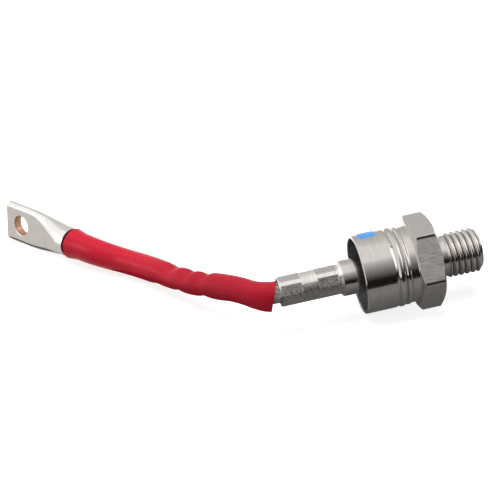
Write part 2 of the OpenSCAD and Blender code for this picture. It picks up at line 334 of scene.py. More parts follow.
def frames(line):
    """Two directions across a line at each point: level, to the far side, and upward."""
    ahead = np.gradient(line, axis=0)
    ahead /= np.linalg.norm(ahead, axis=1, keepdims=True)
    level = np.cross(ahead, (0.0, 0.0, 1.0))
    level /= np.linalg.norm(level, axis=1, keepdims=True)
    return level, np.cross(level, ahead)


def tube(line, angles, radius):
    """A tube along a line: at each point a ring whose radius may change along and around."""
    level, upward = frames(line)
    ring = (
        np.cos(angles)[None, :, None] * level[:, None]
        + np.sin(angles)[None, :, None] * upward[:, None]
    )
    return line[:, None] + radius[..., None] * ring


def grid_faces(rows, columns, close_rows):
    """Corner numbers of a grid's quads, wrapped round its columns, and round its rows where asked."""
    number = np.arange(rows * columns).reshape(rows, columns)
    if close_rows:
        number = np.vstack([number, number[:1]])
    number = np.hstack([number, number[:, :1]])
    return np.stack([number[:-1, :-1], number[1:, :-1], number[1:, 1:], number[:-1, 1:]], axis=-1)


def put_piece(name, sheets, materials, nodes, sharp=40.0, fields=None):
    """Makes one closed piece from sheets of points, turns it outward and sets it on the frame.

    Each sheet is (points by row and column, whether the rows close, material number or one for each
    quad, which quads stay). Points that fall together are merged.
    """
    together, no_length = 1e-7, 1e-8
    points, faces, finish, start = [], [], [], 0
    for grid, close_rows, material, stay in sheets:
        rows, columns = grid.shape[:2]
        quads = grid_faces(rows, columns, close_rows)
        number = np.broadcast_to(material, quads.shape[:2]).ravel()
        stay = np.broadcast_to(True if stay is None else stay, quads.shape[:2]).ravel()
        faces.append(quads.reshape(-1, 4)[stay] + start)
        finish.append(number[stay])
        points.append(grid.reshape(-1, 3))
        start += rows * columns
    mesh = bpy.data.meshes.new(name)
    mesh.from_pydata(np.vstack(points), [], np.vstack(faces))
    mesh.polygons.foreach_set("material_index", np.concatenate(finish).astype(np.int32))
    for key, values in (fields or {}).items():
        field = mesh.attributes.new(key, "FLOAT", "POINT")
        field.data.foreach_set("value", np.asarray(values, np.float32).ravel())
    for material in materials:
        mesh.materials.append(material)
    shape = bmesh.new()
    shape.from_mesh(mesh)
    bmesh.ops.remove_doubles(shape, verts=shape.verts, dist=together)
    bmesh.ops.dissolve_degenerate(shape, edges=shape.edges, dist=no_length)
    bmesh.ops.recalc_face_normals(shape, faces=shape.faces)
    shape.to_mesh(mesh)
    shape.free()
    mesh.polygons.foreach_set("use_smooth", np.ones(len(mesh.polygons), bool))
    mesh.set_sharp_from_angle(angle=math.radians(sharp))
    mesh.update()
    piece = bpy.data.objects.new(name, mesh)
    bpy.context.scene.collection.objects.link(piece)
    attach(piece, "root")
    if nodes:
        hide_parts(*nodes)
    return piece


# Materials


def add_node(tree, kind, inputs=None, **settings):
    """Adds a node, sets it, and fills its sockets with values or links from (node, output) pairs."""
    node = tree.nodes.new(kind)
    for key, value in settings.items():
        setattr(node, key, value)
    for socket, value in (inputs or {}).items():
        if isinstance(value, tuple) and isinstance(value[0], bpy.types.Node):
            tree.links.new(value[0].outputs[value[1]], node.inputs[socket])
        else:
            node.inputs[socket].default_value = value
    return node


def start_material(name):
    """An empty material with an output, a shader and Object coordinates."""
    material = bpy.data.materials.new(name)
    material.use_nodes = True
    tree = material.node_tree
    tree.nodes.clear()
    shader = add_node(tree, "ShaderNodeBsdfPrincipled")
    add_node(tree, "ShaderNodeOutputMaterial", {"Surface": (shader, "BSDF")})
    place = add_node(tree, "ShaderNodeTexCoord")
    return material, tree, shader, place


def dress(tree, shader, share, ends, height, height_mm):
    """Gives a shader its colour, by a share between two ends, and its relief in millimetres."""
    base, tint = ends
    mix = {0: share, 6: (*base, 1.0), 7: (*tint, 1.0)}
    tone = add_node(tree, "ShaderNodeMix", mix, data_type="RGBA")
    bumps = {"Height": height, "Distance": height_mm * MM, "Strength": 1.0}
    relief = add_node(tree, "ShaderNodeBump", bumps)
    tree.links.new(tone.outputs[2], shader.inputs["Base Color"])
    tree.links.new(relief.outputs["Normal"], shader.inputs["Normal"])


def metal(
    name,
    base,
    tint,
    rough,
    grain_mm,
    height_mm,
    spread=0.08,
    mottle_mm=(3.0, 3.0, 3.0),
    mottle=(0.4, 0.75, 0.8),
    stained=False,
):
    """A plated or bare metal whose surface keeps the marks of how it was made.

    The grain is noise with one size in millimetres along each of X, Y and Z, so that it runs as
    scratches do. It lifts the surface by its height and spreads the gloss.
    A mottle, sized in the same way, takes the colour towards the tint: from and to which noise, and by
    how much at most. A stained metal takes the tint wherever its piece's stain field says so.
    """
    material, tree, shader, place = start_material(name)
    noises = []
    for size_mm, detail in ((grain_mm, 3.0), (mottle_mm, 4.0)):
        scale = tuple(1.0 / (s * MM) for s in size_mm)
        stretch = add_node(tree, "ShaderNodeMapping", {"Vector": (place, "Object"), "Scale": scale})
        field = {"Vector": (stretch, "Vector"), "Scale": 1.0, "Detail": detail, "Roughness": 0.6}
        noises.append(add_node(tree, "ShaderNodeTexNoise", field))
    grain, patches = noises
    low, high, most = mottle
    patchy = {"Value": (patches, "Fac"), "From Min": low, "From Max": high, "To Max": most}
    share = (add_node(tree, "ShaderNodeMapRange", patchy), "Result")
    if stained:
        stain = add_node(tree, "ShaderNodeAttribute", attribute_name="stain")
        either = {0: share, 1: (stain, "Fac")}
        share = (add_node(tree, "ShaderNodeMath", either, operation="MAXIMUM"), "Value")
    gloss = add_node(
        tree,
        "ShaderNodeMapRange",
        {
            "Value": (grain, "Fac"),
            "From Min": 0.3,
            "From Max": 0.7,
            "To Min": rough - spread,
            "To Max": rough + spread,
        },
    )
    dress(tree, shader, share, (base, tint), (grain, "Fac"), height_mm)
    shader.inputs["Metallic"].default_value = 1.0
    tree.links.new(gloss.outputs["Result"], shader.inputs["Roughness"])
    return material


def solid_finish(name, base, tint, rough, grain_mm, height_mm):
    """A finish that isn't metal: two close tones in a fine noise, with its relief in millimetres."""
    material, tree, shader, place = start_material(name)
    field = {
        "Vector": (place, "Object"),
        "Scale": 1.0 / (grain_mm * MM),
        "Detail": 4.0,
        "Roughness": 0.55,
    }
    grain = add_node(tree, "ShaderNodeTexNoise", field)
    dress(tree, shader, (grain, "Fac"), (base, tint), (grain, "Fac"), height_mm)
    shader.inputs["Roughness"].default_value = rough
    return material


def shade(base, share):
    """A colour made darker, or lighter where the share is over 1."""
    return tuple(min(1.0, c * share) for c in base)


# Pieces

# The lead's route, as in the part's source: behind the mouth, to the side, and as a share of the drop
# to the lug's axis.
ROUTE = np.array(
    [
        (19.7, 0.0, 0.0),
        (10.0, 0.0, 0.0),
        (2.0, 0.0, 0.0),
        (0.0, 0.0, 0.0),
        (-1.6, 0.2, 0.01),
        (-3.0, 0.85, 0.03),
        (-5.9, 2.85, 0.08),
        (-8.4, 5.2, 0.13),
        (-13.1, 10.9, 0.23),
        (-20.5, 20.5, 0.48),
        (-28.3, 30.8, 0.75),
        (-35.9, 43.3, 0.98),
        (-43.4, 55.1, 1.13),
        (-49.9, 63.6, 1.2),
        (-54.9, 68.4, 1.14),
        (-60.5, 73.6, 1.025),
        (-64.2, 78.35, 1.0),
    ]
)
MOUTH_X = -58.0
LUG_DROP = -7.95
LUG_TURN = np.radians((12.0, -2.0, 128.0))
LUG_STOPS = np.array([3.0, 6.0, 11.7])
MOUTH_AT, SLEEVE_FROM, LUG_AT, SLEEVE_TO = 3, 5, 16, 18
STEPS = 16
# The slanted cut of the sleeve's loose end: the direction in which the sleeve runs off from its face.
SLEEVE_CUT = (-0.9355, 0.2538, 0.244)
SLEEVE_CUT_AT = -1.5
# Where on the stud the thread's crest starts, as a share of a turn.
THREAD_START = 0.233
# Folds of the twisted sleeve: 1 above or -1 below, distance along the lead, depth, and reach along it.
FOLDS = (
    (1, 34.0, 0.4, 5.0),
    (1, 54.0, 1.5, 2.4),
    (1, 62.2, 1.3, 2.2),
    (1, 72.5, 1.4, 3.0),
    (-1, 40.0, 0.3, 3.0),
    (-1, 53.5, 0.9, 2.2),
    (-1, 67.0, 1.1, 2.4),
    (-1, 80.0, 0.8, 3.0),
)


def lug_axes():
    """The lug's own directions as columns: along to its tip, out of its face, and across its width."""
    turn = Matrix.Rotation(LUG_TURN[2], 3, "Z")
    turn = turn @ Matrix.Rotation(LUG_TURN[1], 3, "Y")
    return np.array(turn @ Matrix.Rotation(LUG_TURN[0], 3, "X"))


def route_points():
    """The points that the lead follows, from inside the crimp to inside the lug."""
    way = np.stack([MOUTH_X + ROUTE[:, 0], ROUTE[:, 1], ROUTE[:, 2] * LUG_DROP], axis=1)
    lug = way[-1] + LUG_STOPS[:, None] * lug_axes()[:, 0]
    return np.vstack([way, lug]) * MM


class STUDDIODE_OT_stage(bpy.types.Operator):
    """Camera, floor, soft light and the cards that the metal mirrors"""

    bl_idname = "stud_diode.stage"
    bl_label = "Stage"

    def execute(self, context):
        scene, view = context.scene, context.scene.stud_diode.view
        scene.view_settings.view_transform = "Standard"
        self.camera(scene, view)
        self.sky(scene, view)
        self.cards()
        self.softbox(scene, view)
        return {"FINISHED"}

    def camera(self, scene, view):
        """The photo's camera: turned, raised and rolled, and set off from the seat's middle."""
        a, e, r = view.azimuth, view.elevation, view.roll
        back = np.array([math.sin(a) * math.cos(e), -math.cos(a) * math.cos(e), math.sin(e)])
        right = np.array([math.cos(a), math.sin(a), 0.0])
        upward = np.cross(back, right)
        across = math.cos(r) * right + math.sin(r) * upward
        axes = np.array([across, -math.sin(r) * right + math.cos(r) * upward, back])
        lens = bpy.data.cameras.new("camera")
        lens.sensor_width, lens.lens = 36.0, view.lens
        lens.clip_start, lens.clip_end = 0.01, 50.0
        camera = bpy.data.objects.new("camera", lens)
        stand = np.eye(4)
        stand[:3, :3] = axes.T
        stand[:3, 3] = -axes.T @ np.array(view.origin_seen)
        camera.matrix_world = Matrix(stand.tolist())
        scene.collection.objects.link(camera)
        scene.camera = camera

    def sky(self, scene, view):
        """White all round to the eye and to mirrors, and a dim even light to everything else."""
        world = bpy.data.worlds.new("studio")
        world.use_nodes = True
        scene.world = world
        tree = world.node_tree
        tree.nodes.clear()
        ends = {"Value": self.seen_directly(tree), "To Min": view.ambient, "To Max": 1.0}
        level = add_node(tree, "ShaderNodeMapRange", ends)
        white = {"Color": (1.0, 1.0, 1.0, 1.0), "Strength": (level, "Result")}
        sky = add_node(tree, "ShaderNodeBackground", white)
        add_node(tree, "ShaderNodeOutputWorld", {"Surface": (sky, "Background")})

    def cards(self):
        """The floor, and cards that only mirrors see.

        The metal sees painted shade under it, grey cards for the object's shadow on the floor; then dark
        to the horizon, then slowly up to the white above.
        """
        ground, wide, lift = CAD_LOW[2], 4.0, 0.03 * MM
        corners = [(-wide, -wide), (wide, -wide), (wide, wide), (-wide, wide)]
        self.card("floor", [(x, y, ground) for x, y in corners], self.floor_paper(), seen=True)
        near, far, right, top = -0.068, -1.0, 1.0, 3.0
        grey, dark, white = "#8C8C8A", "#1E1815", "#FFFFFF"
        # The grey cards are painted shade: the floor in the object's shadow as mirrors see it, darkest at
        # the contact, under the lead and under the palm.
        # Name, tone towards the front and towards the back, and corners as (x, y).
        floor_cards = (
            ("floor_shade_card", grey, grey, [(-0.11, near), (0.08, near), (0.08, 0.05), (-0.11, 0.05)]),
            (
                "contact_shadow_card",
                grey,
                "#464646",
                [(-0.033, -0.05), (0.02, -0.05), (0.02, 0.03), (-0.033, 0.03)],
            ),
            ("dark_card_low", dark, dark, [(-0.5, far), (0.6, far), (0.06, near), (-0.11, near)]),
            (
                "dark_card_side",
                dark,
                dark,
                [(0.06, near), (0.6, far), (right, far), (right, 0.2), (0.08, 0.05)],
            ),
            (
                "lug_card",
                "#C8C5C1",
                "#C8C5C1",
                [(-0.6, 0.02), (-0.1, 0.02), (-0.1, 0.3), (-0.6, 0.3)],
            ),
            (
                "lead_shadow_card",
                "#2A2826",
                "#2A2826",
                [(-0.115, -0.06), (-0.062, -0.06), (-0.062, 0.03), (-0.115, 0.08)],
            ),
            (
                "palm_shade_card",
                "#5E5A56",
                "#5E5A56",
                [(-0.128, 0.082), (-0.156, 0.11), (-0.15, 0.118), (-0.122, 0.09)],
            ),
        )
        change_from, change_to = -0.03, 0.002
        for level, (name, front, rear, corners) in enumerate(floor_cards, 1):
            z = ground + level * lift
            face = self.card_face(name, "Y", front, rear, change_from, change_to)
            self.card(name, [(x, y, z) for x, y in corners], face)
        # bright_card_right and lead_light_card glow but are no lamps: seen only in mirrors, they paint
        # highlights on the metal's right-facing edges and on the sleeve and lug.
        # Name, ends of the foot, heights of foot and head, their tones, where the tone changes, strength.
        uprights = (
            ("dark_card_upright", (-0.5, far), (right, far), ground, top, dark, white, 0.1, 1.95, 1.0),
            ("bright_card_right", (right, far), (right, 0.2), ground, top, dark, white, 0.16, 0.4, 1.7),
            ("lead_light_card", (-0.25, 0.04), (-0.25, 0.13), 0.03, 0.1, white, white, 0.0, 1.0, 2.5),
            ("back_card", (-0.35, -far), (2.0, -far), ground, top, "#CDCCCA", white, 0.3, top, 1.0),
        )
        for name, start, end, low, high, *tones in uprights:
            corners = [(*start, low), (*end, low), (*end, high), (*start, high)]
            self.card(name, corners, self.card_face(name, "Z", *tones))

    def softbox(self, scene, view):
        """One large soft lamp overhead, a little behind the part.

        The cards give the metal its mirror image, so the lamp itself doesn't show in it.
        """
        lamp = bpy.data.lights.new("softbox", "AREA")
        lamp.shape, lamp.size, lamp.size_y = "RECTANGLE", 1.3, 0.9
        lamp.energy = view.key
        softbox = bpy.data.objects.new("softbox", lamp)
        aside, behind, height = -0.2, 0.25, 0.95
        lean = Matrix.Rotation(-math.atan2(behind, height), 4, "X")
        softbox.matrix_world = Matrix.Translation((aside, behind, height)) @ lean
        softbox.visible_glossy = False
        scene.collection.objects.link(softbox)

    def seen_directly(self, tree):
        """1 for rays from the camera, from a mirror and through glass, and 0 for the rest."""
        path = add_node(tree, "ShaderNodeLightPath")
        seen = (path, "Is Camera Ray")
        for kind in ("Is Glossy Ray", "Is Transmission Ray"):
            either = {0: seen, 1: (path, kind)}
            seen = (add_node(tree, "ShaderNodeMath", either, operation="MAXIMUM"), "Value")
        return seen

    def floor_paper(self):
        """White paper: matt, with a lift that is only seen and doesn't light the object.

        So it stays white and keeps the object's shadow.
        """
        material, tree, shader, place = start_material("white paper")
        tree.nodes.remove(shader)
        fibre_mm, lift = 0.4, 0.82
        field = {"Vector": (place, "Object"), "Scale": 1.0 / (fibre_mm * MM)}
        fibre = add_node(tree, "ShaderNodeTexNoise", field)
        ends = {0: (fibre, "Fac"), 6: (*linear("#C4C4C3"), 1.0), 7: (*linear("#CACACA"), 1.0)}
        tone = add_node(tree, "ShaderNodeMix", ends, data_type="RGBA")
        matt = add_node(tree, "ShaderNodeBsdfDiffuse", {"Color": (tone, 2)})
        lifted = {0: self.seen_directly(tree), 1: lift}
        strength = add_node(tree, "ShaderNodeMath", lifted, operation="MULTIPLY")
        glow = add_node(tree, "ShaderNodeEmission", {"Strength": (strength, "Value")})
        both = add_node(tree, "ShaderNodeAddShader", {0: (matt, "BSDF"), 1: (glow, "Emission")})
        output = next(n for n in tree.nodes if n.bl_idname == "ShaderNodeOutputMaterial")
        tree.links.new(both.outputs[0], output.inputs["Surface"])
        return material

    def card_face(self, name, axis, low_code, high_code, low, high, strength=1.0):
        """A studio card as the metal mirrors it; along one axis its tone goes over to another."""
        material, tree, shader, place = start_material(name)
        parts = add_node(tree, "ShaderNodeSeparateXYZ", {0: (place, "Object")})
        stretch = {"Value": (parts, axis), "From Min": low, "From Max": high}
        rise = add_node(tree, "ShaderNodeMapRange", stretch)
        ends = {0: (rise, "Result"), 6: (*linear(low_code), 1.0), 7: (*linear(high_code), 1.0)}
        tone = add_node(tree, "ShaderNodeMix", ends, data_type="RGBA")
        shader.inputs["Base Color"].default_value = (0.0, 0.0, 0.0, 1.0)
        shader.inputs["Specular IOR Level"].default_value = 0.0
        shader.inputs["Emission Strength"].default_value = strength
        tree.links.new(tone.outputs[2], shader.inputs["Emission Color"])
        return material

    def card(self, name, corners, material, seen=False):
        """A flat card of the stage; one that isn't seen shows only in mirrors."""
        mesh = bpy.data.meshes.new(name)
        mesh.from_pydata(corners, [], [tuple(range(len(corners)))])
        mesh.materials.append(material)
        card = bpy.data.objects.new(name, mesh)
        bpy.context.scene.collection.objects.link(card)
        if not seen:
            card.visible_camera = False
            card.visible_diffuse = False
            card.visible_shadow = False
            card.visible_transmission = False


def lug_half(x, palm, size):
    """Half of the lug's height or thickness at a distance from its mouth.

    The tube opens from its swaged mouth and turns into the palm. The press closes it quickly at first and
    then ever more slowly, which leaves a soft shoulder at the end of the palm.
    """
    swaged = size.mouth_in * (1.0 - smooth(x, 0.0, size.mouth_length))
    round_half = size.barrel_radius - swaged
    u = np.clip((x - size.straight) / size.taper, 0.0, 1.0)
    flatness = 0.6 * u * (2.0 - u) + 0.4 * smooth(u, 0.0, 1.0)
    return round_half + flatness * (palm / 2 - round_half)


class STUDDIODE_OT_lug(bpy.types.Operator):
    """Cable lug, pressed flat from a tinned copper tube"""

    bl_idname = "stud_diode.lug"
    bl_label = "Cable lug"

    def execute(self, context):
        size, finish = context.scene.stud_diode.lug, context.scene.stud_diode.finish
        per_round, per_flat = 28, 17
        flat_from, tip = size.straight + size.taper, size.total
        edge = 0.25 * MM
        mouth = size.barrel_radius - size.mouth_in
        # Outside, from the bore's bottom out of the mouth and along to the tip's edge.
        x = np.concatenate(
            [
                [size.bore_depth, size.bore_depth, 0.2 * MM, 0.0, 0.0, 0.2 * MM],
                np.linspace(0.6 * MM, size.straight, 54),
                np.linspace(size.straight, flat_from, 44)[1:],
                np.linspace(flat_from, tip - edge, 14)[1:],
            ]
        )
        half = lug_half(x, size.palm_width, size)
        thick = lug_half(x, size.palm_thickness, size)
        half[:6] = thick[:6] = [
            1e-9, size.bore, size.bore, size.bore + 0.2 * MM, mouth - 0.2 * MM, mouth
        ]
        palm_rows = np.flatnonzero(x >= flat_from - 1e-9)
        # The tip: its edge rounds in, and its face closes on the line where the two walls meet.
        ease = np.array([0.35, 0.75, 1.0])
        x = np.concatenate([x, tip - edge * (1 - ease) ** 2, [tip, tip]])
        inset = np.concatenate([edge * ease**2, [1.0 * MM, size.palm_thickness / 2]])
        half = np.concatenate([half, half[-1] - inset])
        thick = np.concatenate([thick, thick[-1] - inset])
        loop = self.section(half, thick, per_round, per_flat, size)
        outside = np.concatenate(
            [np.broadcast_to(x[:, None, None], loop.shape[:2] + (1,)), loop], axis=-1
        )
        column = np.arange(outside.shape[1])
        is_flat = (column % (per_round + per_flat - 1)) >= per_round
        keep = np.ones((len(x) - 1, len(column)), bool)
        keep[palm_rows[0] : palm_rows[-1]] = ~is_flat
        palm, wall = self.palm(x[palm_rows], per_flat, size)
        covered = LUG_STOPS[SLEEVE_TO - LUG_AT - 1] * MM
        # Rows just past the sleeve's end take the painted gap shadow.
        gap_shadow_rows = (x[:-1] > covered - 1.0 * MM) & (x[:-1] < covered + 1.5 * MM)
        gap_shadow_rows[:6] = False
        finish_rows = np.where(gap_shadow_rows, 2, 0)
        place = route_points()[LUG_AT]
        axes = lug_axes().T
        # Copper tube tinned in a bath: bright but soft, with a faint flow and small handling dents.
        tin = metal(
            "tinned copper tube",
            tuple(finish.tin),
            shade(finish.tin, 0.88),
            0.17,
            (2.4, 2.4, 2.4),
            0.004,
            spread=0.05,
            mottle_mm=(5.0, 5.0, 5.0),
        )
        # Where the sleeve ends, a nearly black band on the tin is painted shadow in the gap under the
        # sleeve's end.
        gap_shadow = metal(
            "painted gap shadow on tin", linear("#3A1C1C"), linear("#140808"), 0.5, (0.5, 0.5, 0.5), 0.004
        )
        # The hole was punched after tinning, so its wall is copper with fine draw marks.
        bare = metal(
            "punched copper",
            tuple(finish.copper),
            shade(finish.copper, 0.75),
            0.38,
            (0.25, 0.25, 1.5),
            0.008,
        )
        put_piece(
            "lug",
            [
                (place + outside @ axes, False, finish_rows[:, None], keep),
                (place + palm @ axes, False, wall[:, None], None),
            ],
            [tin, bare, gap_shadow],
            ["cable_lug"],
        )
        return {"FINISHED"}

    def section(self, half, thick, per_round, per_flat, size):
        """Rounded bar sections: a half circle on each long edge, with flats between them.

        Between tube and palm the faces swell a little towards an ellipse, as a pressed tube does.
        """
        turn = np.linspace(0.0, TURN / 2, per_round + 1)[None, :]
        flat = (half - thick)[:, None]
        t = thick[:, None]
        edge = np.stack([t * np.cos(turn), flat + t * np.sin(turn)], axis=-1)
        run = np.linspace(1.0, -1.0, per_flat)[None, 1:-1]
        face = np.stack([np.broadcast_to(-t, (len(t), per_flat - 2)), flat * run], -1)
        one = np.concatenate([edge, face], axis=1)
        loop = np.concatenate([one, -one], axis=1)
        reach = np.clip(loop[..., 1] / half[:, None], -1.0, 1.0)
        oval = np.sign(loop[..., 0]) * t * np.sqrt(1.0 - reach**2)
        pressed = 2.0 * flat / (size.palm_width - size.palm_thickness)
        swell = 2.0 * pressed * np.clip(1.0 - pressed, 0.0, 1.0)
        loop[..., 0] += swell * (oval - loop[..., 0])
        return loop

    def palm(self, rows_x, per_flat, size):
        """The palm's faces and the hole's wall as one sheet, from outline to outline through the hole."""
        flat_half = (size.palm_width - size.palm_thickness) / 2
        across = np.linspace(-flat_half, flat_half, per_flat)
        outline = np.concatenate(
            [
                np.stack([np.full(per_flat, rows_x[0]), across], 1)[:-1],
                np.stack([rows_x, np.full(len(rows_x), flat_half)], 1)[:-1],
                np.stack([np.full(per_flat, rows_x[-1]), -across], 1)[:-1],
                np.stack([rows_x[::-1], np.full(len(rows_x), -flat_half)], 1)[:-1],
            ]
        )
        middle = np.array([size.hole_at, 0.0])
        spoke = outline - middle
        spoke /= np.linalg.norm(spoke, axis=1, keepdims=True)
        burr = 0.3 * MM
        lip = middle + spoke * (size.hole_radius + burr)
        share = np.linspace(0.0, 1.0, 9)[:, None, None]
        face = outline + (lip - outline) * share
        turn = np.linspace(0.0, TURN / 4, 5)[1:, None, None]
        rolled = middle + spoke * (size.hole_radius + burr * (1 - np.sin(turn)))
        sheet = np.concatenate([face, rolled])
        height = np.concatenate(
            [
                np.full(len(face), size.palm_thickness / 2),
                size.palm_thickness / 2 - burr * (1 - np.cos(turn.ravel())),
            ]
        )
        sheet = np.concatenate([sheet, sheet[::-1]])
        height = np.concatenate([height, -height[::-1]])
        height = np.broadcast_to(height[:, None], sheet.shape[:2])
        wall = np.zeros(len(sheet) - 1, int)
        wall[len(face) + 1 : len(sheet) - len(face) - 2] = 1
        return np.stack([sheet[..., 0], height, sheet[..., 1]], axis=-1), wall


class STUDDIODE_OT_lead(bpy.types.Operator):
    """Braid and the sleeve over it"""

    bl_idname = "stud_diode.lead"
    bl_label = "Lead"

    def execute(self, context):
        settings = context.scene.stud_diode
        size, finish = settings.lead, settings.finish
        line = catmull(route_points(), STEPS)
        braid = self.weave(line, size, finish)
        pvc = self.pvc(tuple(finish.sleeve))
        sleeve = put_piece(
            "sleeve",
            [(self.sleeve_sheet(line, settings), True, 0, None)],
            [pvc],
            ["lead_sleeve"],
        )
        return {"FINISHED"}

    def sleeve_sheet(self, line, settings):
        """Skin and lining of the sleeve, as rings along the lead whose radius changes along and around.

        The end at the diode was cut at a slant, so each column of points starts where the cut meets it.
        Folds press the skin in above or below, each fading along the lead like a bell curve.
        """
        size, lug = settings.lead, settings.lug
        gone, way = travel(line), np.arange(len(line)) / STEPS
        level, upward = frames(line)
        first = SLEEVE_FROM * STEPS
        angles = np.arange(96) / 96 * TURN
        end_radius = size.sleeve_radius + size.flare
        slack, flare_length, sag_length, squeeze = 0.125 * MM, 9.0 * MM, 14.0 * MM, 0.7 * MM
        # Where each column crosses the plane of the cut: the first place that lies beyond it.
        trial = gone[first] + np.linspace(-6.0, 8.0, 561)[:, None] * MM
        ray = self.spokes(trial, gone, (line, level, upward), angles)
        rim_points = ray[0] - size.sag * ray[2] + end_radius * ray[1]
        past = (rim_points - line[first]) @ np.array(SLEEVE_CUT)
        begin = trial[np.argmax(past > SLEEVE_CUT_AT * MM, axis=0), 0]
        share = np.linspace(0.0, 1.0, 320)[:, None]
        s = begin + (gone[SLEEVE_TO * STEPS] - begin) * share
        from_cut = s - gone[first]
        at = np.interp(s, gone, way)
        on_lug = np.maximum(s - gone[LUG_AT * STEPS], 0.0)
        over = lug_half(on_lug, lug.palm_width, lug) + size.sleeve_wall + slack
        widen = smooth(at, LUG_AT - 3.5, LUG_AT)
        radius = size.sleeve_radius + widen * (over - size.sleeve_radius)
        radius += size.flare * (1.0 - smooth(from_cut, 0.0, flare_length))
        radius += size.lug_gap * smooth(at, SLEEVE_TO - 2.0, SLEEVE_TO)
        radius -= size.waist * smooth(at, 8.7, 9.5) * (1.0 - smooth(at, 10.7, 11.5))
        for side, middle, depth, reach in FOLDS:
            bell = np.exp(-(((s / MM - middle) / reach) ** 2))
            facing = np.clip(side * np.sin(angles), 0.0, 1.0) ** 2
            radius -= depth * MM * bell * facing
        inner = np.maximum(radius - size.sleeve_wall, size.braid_radius - squeeze)
        sag = size.sag * (1.0 - smooth(from_cut, 0.0, sag_length))
        path, spoke, up = self.spokes(s, gone, (line, level, upward), angles)
        centre = path - sag[..., None] * up
        skin = centre + radius[..., None] * spoke
        lining = centre + inner[..., None] * spoke
        rim = (1 - np.array([0.12, 0.5, 0.88]))[:, None, None]
        head = skin[0] * rim[::-1] + lining[0] * (1 - rim[::-1])
        tail = skin[-1] * rim + lining[-1] * (1 - rim)
        return np.concatenate([skin, tail, lining[::-1], head])

    def spokes(self, s, gone, grids, angles):
        """The lead's middle, a direction outward at each angle, and upward, at distances along it."""
        s = np.broadcast_to(s, (len(s), len(angles)))
        path, level, upward = (
            np.stack([np.interp(s, gone, grid[:, k]) for k in range(3)], axis=-1) for grid in grids
        )
        turn = angles[:, None]
        return path, np.cos(turn) * level + np.sin(turn) * upward, upward

    def weave(self, line, size, finish):
        """Strands wound both ways round a core.

        Each goes over and under by a cosine with one wave for two crossings.
        """
        gone = travel(line)
        start = gone[MOUTH_AT * STEPS] - 5 * MM
        end = gone[SLEEVE_FROM * STEPS] + 11 * MM
        s = np.arange(start, end, 0.22 * MM)
        centre = along(line, s)
        level, upward = frames(centre)
        thick, wide = 0.24 * MM, 0.82 * MM
        wave = 0.17 * MM
        middle = size.braid_radius - thick - wave
        turn = TURN * s / size.lay
        lift = wave * np.cos(size.strands * turn)
        ring = np.arange(10) / 10 * TURN
        sheets, wires = [], []
        for way in (1.0, -1.0):
            for strand in range(size.strands):
                angle = way * turn + TURN * strand / size.strands
                out = np.cos(angle)[:, None] * level + np.sin(angle)[:, None] * upward
                spot = centre + (middle + way * lift)[:, None] * out
                ahead = np.gradient(spot, axis=0)
                ahead /= np.linalg.norm(ahead, axis=1, keepdims=True)
                across = np.cross(out, ahead)
                body = (
                    spot[:, None]
                    + thick * np.cos(ring)[None, :, None] * out[:, None]
                    + wide * np.sin(ring)[None, :, None] * across[:, None]
                )
                ends = spot[[0, -1]][:, None].repeat(len(ring), axis=1)
                sheets.append((np.concatenate([ends[:1], body, ends[1:]]), False, 0, None))
                wires.append(np.broadcast_to(np.sin(ring)[None, :], (len(s) + 2, len(ring))))
        core_line, columns = line[2:-2], 20
        core_radius = np.full((len(core_line), columns), size.braid_radius - 0.75 * MM)
        core = tube(core_line, np.arange(columns) / columns * TURN, core_radius)
        caps = core_line[[0, -1]][:, None].repeat(columns, axis=1)
        sheets.append((np.concatenate([caps[:1], core, caps[1:]]), False, 0, None))
        wires.append(np.zeros((len(core_line) + 2, columns)))
        field = np.concatenate([w.ravel() for w in wires])
        return put_piece(
            "braid",
            sheets,
            [self.wire(tuple(finish.braid))],
            ["lead_braid"],
            fields={"wire": field},
        )

    def wire(self, base):
        """Tinned copper wire in flat strands: seven wires side by side, grey with a greenish cast.

        Tarnish lies over it in patches, down to less than half as bright.
        """
        material, tree, shader, place = start_material("tinned copper braid")
        wires_in_strand, patch_mm, tarnish = 7, 1.1, 0.45
        across = add_node(tree, "ShaderNodeAttribute", attribute_name="wire")
        angle_across = {0: (across, "Fac"), 1: wires_in_strand * math.pi}
        waves = add_node(tree, "ShaderNodeMath", angle_across, operation="MULTIPLY")
        round_wire = add_node(tree, "ShaderNodeMath", {0: (waves, "Value")}, operation="COSINE")
        field = {"Vector": (place, "Object"), "Scale": 1.0 / (patch_mm * MM), "Detail": 4.0}
        stain = add_node(tree, "ShaderNodeTexNoise", field)
        patchy = {"Value": (stain, "Fac"), "From Min": 0.35, "From Max": 0.7}
        share = (add_node(tree, "ShaderNodeMapRange", patchy), "Result")
        dress(tree, shader, share, (base, shade(base, tarnish)), (round_wire, "Value"), 0.03)
        shader.inputs["Metallic"].default_value = 1.0
        shader.inputs["Roughness"].default_value = 0.42
        return material

    def pvc(self, base):
        """Soft PVC sleeve: a strong red with a broad soft shine and a faint orange peel from the extruder.

        Towards the diode it is duller, and its colour darker as painted shade.
        """
        material, tree, shader, place = start_material("soft red PVC")
        dull_shaded_to, lit_from, shade_at_diode, peel_mm = -86.0 * MM, -104.0 * MM, 0.72, 2.2
        parts = add_node(tree, "ShaderNodeSeparateXYZ", {0: (place, "Object")})
        reach = {"Value": (parts, "X"), "From Min": dull_shaded_to, "From Max": lit_from}
        lit_and_glossy = add_node(tree, "ShaderNodeMapRange", reach)
        field = {"Vector": (place, "Object"), "Scale": 1.0 / (peel_mm * MM), "Detail": 4.0}
        peel = add_node(tree, "ShaderNodeTexNoise", field)
        # The colour goes darker towards the diode as painted shade.
        ends = (shade(base, shade_at_diode), base)
        dress(tree, shader, (lit_and_glossy, "Result"), ends, (peel, "Fac"), 0.008)
